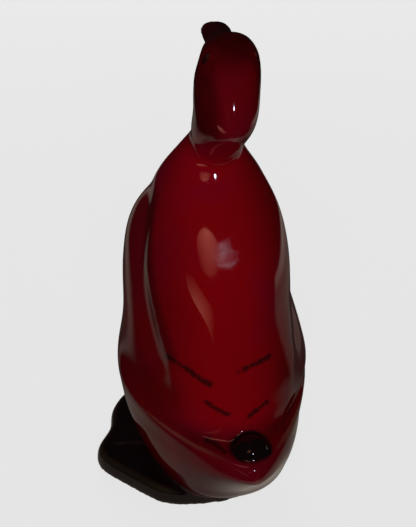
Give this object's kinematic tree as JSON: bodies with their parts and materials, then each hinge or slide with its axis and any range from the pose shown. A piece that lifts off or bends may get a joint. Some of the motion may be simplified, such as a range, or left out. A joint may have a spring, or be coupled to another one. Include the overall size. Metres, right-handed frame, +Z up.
{
  "type": "duck figurine",
  "caption": "Upright standing duck with folded wings, a curled tail feather and webbed feet, cast as one piece of glossy glazed pottery.",
  "frame": {"origin": "on the surface the figurine stands on, under the middle of its bounding box", "axes": "+Z up, the duck faces -Y with its head turned a little to -X, and its left side is +X"},
  "size_m": [0.0732, 0.0882, 0.1592],
  "materials": {
    "red_glaze": null
  },
  "bodies": {
    "root": {"duck_figurine": "red_glaze"}
  },
  "joints": []
}
